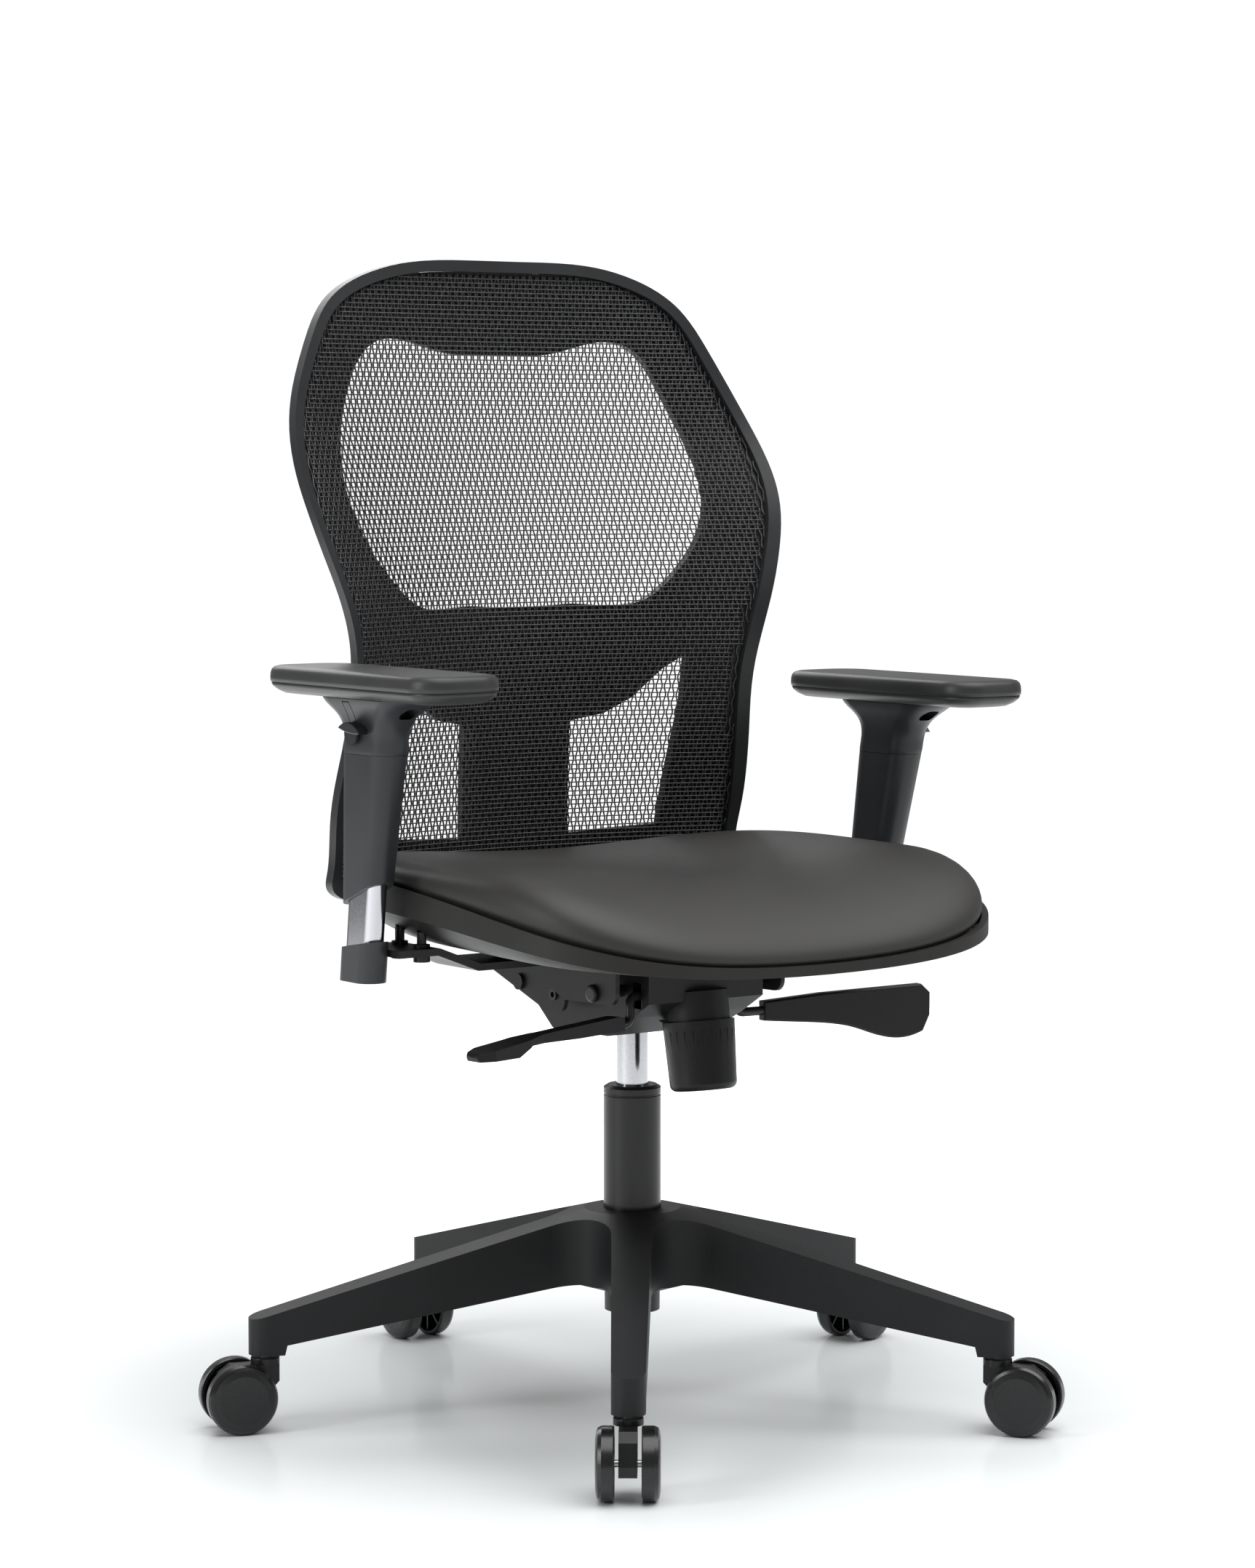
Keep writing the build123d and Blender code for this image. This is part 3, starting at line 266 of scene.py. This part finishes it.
def seat_point(angle, share, inset=0.0):
    """Plan point of the seat at a share of the way out, in a direction."""
    c, s = cos(angle), sin(angle)
    length, power = SEAT_FRONT if s < 0 else SEAT_REAR
    reach = (abs(c) ** power + abs(s) ** power) ** (-1 / power)
    x = (SEAT_HALF_WIDTH - inset) * reach * c * share
    return x, SEAT_MID_Y + (length - inset) * reach * s * share


def rim_height(x, y):
    """Top edge of the pan, as in the CAD."""
    run = y - (SEAT_MID_Y - SEAT_FRONT[0])
    return RIM_FRONT_Z + RIM_BOW * x**2 + RIM_SLOPE * run - RIM_SAG * run**2


def cushion_height(x, y):
    """Crown of the cushion: dished middle, raised thighs, waterfall front."""
    across = x / SEAT_HALF_WIDTH
    front = max(0.0, (FRONT_START_Y - y) / FRONT_RUN)
    return CROWN_Z + THIGH_RISE * across**2 - FRONT_FALL * front**2.2 - SIDE_FALL * across**6


def cushion():
    """Upholstered cushion: a crowned form that rolls under into the pan."""
    count = CUSHION_SPOKES

    def plan(share, inset):
        return [seat_point(2 * pi * k / count, share, inset) for k in range(count)]

    rings = []
    for share, drop in UNDER_RINGS:
        rings.append([(x, y, rim_height(x, y) - drop) for x, y in plan(share, UNDER_INSET)])
    # side roll, from inside the rim up and over
    for inset, rise in TUCK_RINGS:
        rings.append([(x, y, rim_height(x, y) + rise) for x, y in plan(1.0, inset)])
    for inset, share in ROLL_RINGS:
        ring = []
        for x, y in plan(1.0, inset):
            low, high = rim_height(x, y), cushion_height(x, y)
            ring.append((x, y, low + (high - low) * share))
        rings.append(ring)
    for share in CROWN_SHARES:
        rings.append([(x, y, cushion_height(x, y)) for x, y in plan(share, CROWN_INSET)])
    verts = [v for ring in rings for v in ring]
    faces = ring_faces(len(rings), count)
    top, bottom = len(verts), len(verts) + 1
    verts.append((0, SEAT_MID_Y, cushion_height(0, SEAT_MID_Y)))
    verts.append((0, SEAT_MID_Y, CUSHION_UNDERSIDE_Z))
    last = (len(rings) - 1) * count
    faces += [(last + k, last + (k + 1) % count, top) for k in range(count)]
    faces += [((k + 1) % count, k, bottom) for k in range(count)]
    obj = piece("cushion", verts, faces, "seat", VINYL)
    subdivided(obj)
    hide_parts("seat_cushion")


cushion()


# ---------------------------------------------------------------- stretched net of the back
NET_PITCH = 0.0036  # between neighbouring warp strands
NET_SWING = 0.0008  # how far a strand sways to close up with each neighbour in turn
NET_PERIOD = 0.016
WEFT_PITCH = 0.004
PERIOD_STEPS = 8  # points of a warp strand in one period
WARP_HALF = (0.00088, 0.00045)  # half width and half thickness of a strand
WEFT_HALF = (0.00052, 0.00035)
WARP_SKEW = 0.2  # share of the half width by which the thick part is off the middle
WEFT_AHEAD = 0.00045  # how far the weft lies in front of the warp
SKIN_HALF = 0.001  # half the thickness of the CAD's solid net


def net():
    """Open knitted net: swaying warp strands in pairs, crossed by fine weft threads."""
    skin = nodes["back_mesh"]
    tree = BVHTree.FromObject(skin, bpy.context.evaluated_depsgraph_get())
    low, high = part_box("back_mesh")

    def depth(x, z):
        hit = tree.ray_cast(Vector((x, 0, z)), Vector((0, 1, 0)))
        return None if hit[0] is None else hit[0].y + SKIN_HALF

    verts, faces = [], []

    def strand(points, half_wide, half_thick, across):
        """Flat closed yarn through the points."""
        start = len(verts)
        for x, y, z in points:
            if across:
                corners = (
                    (0, -half_thick, -half_wide),
                    (0, half_thick, -half_wide),
                    (0, half_thick, half_wide),
                    (0, -half_thick, half_wide),
                )
            else:
                corners = (
                    (-half_wide, 0, 0),
                    (-half_wide * WARP_SKEW, half_thick, 0),
                    (half_wide, 0, 0),
                    (half_wide * WARP_SKEW, -half_thick, 0),
                )
            verts.extend((x + dx, y + dy, z + dz) for dx, dy, dz in corners)
        for i in range(len(points) - 1):
            for k in range(4):
                a, b = start + 4 * i + k, start + 4 * i + (k + 1) % 4
                faces.append((a, b, b + 4, a + 4))
        end = start + 4 * (len(points) - 1)
        faces.append((start + 3, start + 2, start + 1, start))
        faces.append((end, end + 1, end + 2, end + 3))

    def runs(samples):
        """Stretches of consecutive samples that lie on the skin."""
        run = []
        for sample in samples:
            if sample is None:
                if len(run) > 2:
                    yield run
                run = []
            else:
                run.append(sample)
        if len(run) > 2:
            yield run

    half = high[0]
    columns = int(half / NET_PITCH)
    bottom, top = low[2], high[2]
    step = NET_PERIOD / PERIOD_STEPS
    levels = int((top - bottom) / step) + 1
    for k in range(-columns, columns + 1):
        samples = []
        for i in range(levels):
            z = bottom + i * step
            sway = cos(2 * pi * z / NET_PERIOD) * (NET_SWING if k % 2 else -NET_SWING)
            x = (k + 0.5) * NET_PITCH + sway
            y = depth(x, z)
            samples.append(None if y is None else (x, y, z))
        for run in runs(samples):
            strand(run, *WARP_HALF, False)
    rows = int((top - bottom) / WEFT_PITCH)
    for j in range(1, rows):
        z = bottom + j * WEFT_PITCH
        samples = []
        for i in range(columns + 1):
            x = -half + 2 * half * i / columns
            y = depth(x, z)
            samples.append(None if y is None else (x, y - WEFT_AHEAD, z))
        for run in runs(samples):
            strand(run, *WEFT_HALF, True)
    obj = piece("back_net", verts, faces, "back", YARN_PAINTED_GLINTS)
    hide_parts("back_mesh")


net()


# ---------------------------------------------------------------- arm pads
PAD_CORNER_R = 0.026
PAD_LEAST_R = 0.004
PAD_TIGHTENING = 0.8  # loss of corner radius with inset
PAD_BOW = 0.035  # how much the ends are narrower than the middle
END_BOW = 0.6 * PAD_BOW  # how much the sides are shorter than the middle
CORNER_STEPS = 12
SIDE_STEPS = 6


def rounded(half_x, half_y, radius):
    """Rounded rectangle with slightly bowed ends and sides, as plan points."""
    points = []
    for turn in range(4):
        cx = (half_x - radius) * (1 if turn in (0, 3) else -1)
        cy = (half_y - radius) * (1 if turn in (0, 1) else -1)
        for i in range(CORNER_STEPS + 1):
            angle = pi / 2 * (turn + i / CORNER_STEPS)
            points.append((cx + radius * cos(angle), cy + radius * sin(angle)))
        # a few points on the straight run that follows
        after = (turn + 1) % 4
        nx = (half_x - radius) * (1 if after in (0, 3) else -1) + radius * cos(pi / 2 * after)
        ny = (half_y - radius) * (1 if after in (0, 1) else -1) + radius * sin(pi / 2 * after)
        x, y = points[-1]
        for i in range(1, SIDE_STEPS):
            points.append((x + (nx - x) * i / SIDE_STEPS, y + (ny - y) * i / SIDE_STEPS))
    bowed = []
    for x, y in points:
        narrowed = x * (1 - PAD_BOW * (y / half_y) ** 2)
        shortened = y * (1 - END_BOW * (x / half_x) ** 2)
        bowed.append((narrowed, shortened))
    return bowed


PAD_PROFILE = (  # (inset, height above the underside)
    (0.0300, 0.0010),
    (0.0180, 0.0000),
    (0.0120, 0.0008),
    (0.0060, 0.0036),
    (0.0022, 0.0068),
    (0.0008, 0.0094),
    (0.0016, 0.0098),
    (0.0016, 0.0101),
    (0.0003, 0.0105),
    (0.0000, 0.0140),
    (0.0003, 0.0180),
    (0.0013, 0.0208),
    (0.0034, 0.0227),
    (0.0070, 0.0236),
    (0.0150, 0.0239),
    (0.0300, 0.0240),
)


def arm_pad(name):
    """Soft moulded pad: a lower shell, a parting line and a crowned top."""
    low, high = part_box(f"arm_pad_{name}")
    half_x, half_y = (high[0] - low[0]) / 2, (high[1] - low[1]) / 2
    middle_x, middle_y = (high[0] + low[0]) / 2, (high[1] + low[1]) / 2
    verts = []
    for inset, height in PAD_PROFILE:
        radius = max(PAD_LEAST_R, PAD_CORNER_R - PAD_TIGHTENING * inset)
        for x, y in rounded(half_x - inset, half_y - inset, radius):
            verts.append((middle_x + x, middle_y + y, low[2] + height))
    count = len(verts) // len(PAD_PROFILE)
    faces = ring_faces(len(PAD_PROFILE), count)
    last = len(verts) - count
    faces.append(tuple(range(count))[::-1])
    faces.append(tuple(last + k for k in range(count)))
    obj = piece(f"arm_pad_skin_{name}", verts, faces, f"arm_{name}", PAD)
    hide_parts(f"arm_pad_{name}")


for side_name in SIDES:
    arm_pad(side_name)


# ---------------------------------------------------------------- edges of the CAD pieces
def softened(node_name, width, segments=2, angle=35):
    """Rounds the sharp edges of a CAD node as it is shown."""
    node = nodes[node_name]
    modifier = node.modifiers.new("edges", "BEVEL")
    modifier.width = width
    modifier.segments = segments
    modifier.limit_method = "ANGLE"
    modifier.angle_limit = radians(angle)
    modifier.use_clamp_overlap = True


softened("star_base", 0.0018, 3)
softened("back_rim", 0.0028, 4, 50)
softened("mech_housing", 0.0014)
softened("seat_bracket", 0.0008)
softened("seat_pan", 0.0010)
softened("back_bar", 0.0012)
softened("tension_knob", 0.0005)
for side_name in SIDES:
    softened(f"arm_cup_{side_name}", 0.0015, 3)
    softened(f"arm_sleeve_{side_name}", 0.0008)
    softened(f"arm_bracket_{side_name}", 0.0010)
    softened(f"arm_trigger_{side_name}", 0.0008)
for number in range(1, 6):
    softened(f"castor_hood_{number}", 0.0008)


# ---------------------------------------------------------------- stage, light and camera
FLOOR_R = 2.7
FLOOR_SIDES = 96
FADE = (0.35, 1.3)  # distance from the chair's axis over which the floor turns white and dull
FLOOR_NEAR = (0.72, 0.75, 0.758, 1)
FLOOR_FAR = (1, 1, 1, 1)
FLOOR_ROUGHNESS_NEAR = (0.14, 0.18)
FLOOR_ROUGHNESS_FAR = 0.8


def floor():
    """Pale round floor, faintly glossy near the chair and fading into the white backdrop."""
    material, tree, bsdf = shader("floor_paper")
    coords = tree.nodes.new("ShaderNodeTexCoord")
    cloud = noise(tree, coords, 1.2, 2.0)
    # paler and duller with distance from the chair
    spread = tree.nodes.new("ShaderNodeVectorMath")
    spread.operation = "LENGTH"
    tree.links.new(coords.outputs["Object"], spread.inputs[0])
    away = ranged(tree, spread.outputs["Value"], 0.0, 1.0, *FADE)
    tone = tree.nodes.new("ShaderNodeMix")
    tone.data_type = "RGBA"
    tone.inputs[6].default_value = FLOOR_NEAR
    tone.inputs[7].default_value = FLOOR_FAR
    tree.links.new(away, tone.inputs["Factor"])
    tree.links.new(tone.outputs[2], bsdf.inputs["Base Color"])
    gloss = tree.nodes.new("ShaderNodeMix")
    tree.links.new(away, gloss.inputs["Factor"])
    tree.links.new(ranged(tree, cloud.outputs["Fac"], *FLOOR_ROUGHNESS_NEAR), gloss.inputs["A"])
    gloss.inputs["B"].default_value = FLOOR_ROUGHNESS_FAR
    tree.links.new(gloss.outputs["Result"], bsdf.inputs["Roughness"])
    bsdf.inputs["Specular IOR Level"].default_value = 0.5
    mesh = bpy.data.meshes.new("floor")
    turns = [2 * pi * k / FLOOR_SIDES for k in range(FLOOR_SIDES)]
    corners = [(FLOOR_R * cos(turn), FLOOR_R * sin(turn), 0) for turn in turns]
    mesh.from_pydata(corners, [], [tuple(range(FLOOR_SIDES))])
    mesh.materials.append(material)
    obj = bpy.data.objects.new("floor", mesh)
    bpy.context.scene.collection.objects.link(obj)


def softbox(name, place, aim, size, power):
    """Rectangular area light."""
    data = bpy.data.lights.new(name, "AREA")
    data.shape = "RECTANGLE"
    data.size, data.size_y = size
    data.energy = power
    obj = bpy.data.objects.new(name, data)
    obj.location = place
    obj.rotation_euler = (Vector(aim) - Vector(place)).to_track_quat("-Z", "Y").to_euler()
    bpy.context.scene.collection.objects.link(obj)


FILL = 0.30  # strength of the surroundings as the chair sees them
BACKDROP = 1.05  # strength of the surroundings as the camera sees them
OVERHEAD_STRENGTH = 4.2
OVERHEAD_SPREAD = radians(70)
OVERHEAD_TURN = (radians(12), radians(8), 0)
SOFTBOXES = (  # (name, place, aim, size, watts)
    ("left", (-3.2, 0.2, 1.5), (0, 0, 0.55), (0.7, 2.4), 48),
    ("right", (2.2, -2.4, 1.6), (0, 0, 0.55), (0.8, 2.4), 9),
    ("behind", (0.6, 2.8, 2.2), (0, 0, 0.6), (2.4, 1.0), 30),
)


def studio():
    """Even grey studio round the chair, seen as a white backdrop, and a broad light from above."""
    world = bpy.data.worlds.new("studio")
    bpy.context.scene.world = world
    world.use_nodes = True
    tree = world.node_tree
    seen = tree.nodes.new("ShaderNodeLightPath")
    level = tree.nodes.new("ShaderNodeMapRange")
    level.inputs["To Min"].default_value = FILL
    level.inputs["To Max"].default_value = BACKDROP
    tree.links.new(seen.outputs["Is Camera Ray"], level.inputs["Value"])
    backdrop = tree.nodes["Background"]
    backdrop.inputs["Color"].default_value = (1, 1, 1, 1)
    tree.links.new(level.outputs["Result"], backdrop.inputs["Strength"])
    overhead = bpy.data.lights.new("overhead", "SUN")
    overhead.energy = OVERHEAD_STRENGTH
    overhead.angle = OVERHEAD_SPREAD
    obj = bpy.data.objects.new("overhead", overhead)
    obj.rotation_euler = OVERHEAD_TURN
    bpy.context.scene.collection.objects.link(obj)
    for box in SOFTBOXES:
        softbox(*box)


floor()
studio()
bpy.context.scene.view_settings.view_transform = "Standard"

CAMERA_PLACE = (-2.1467, -3.0136, 0.8316)
CAMERA_TURN = radians(-35.4)
CAMERA_DIP = 0.078  # radians below the horizon
LENS = 98.62
SENSOR = 36.0

camera_data = bpy.data.cameras.new("camera")
camera_data.sensor_width = SENSOR
camera_data.lens = LENS
camera = bpy.data.objects.new("camera", camera_data)
camera.location = CAMERA_PLACE
camera.rotation_euler = (pi / 2 - CAMERA_DIP, 0, CAMERA_TURN)
bpy.context.scene.collection.objects.link(camera)
bpy.context.scene.camera = camera
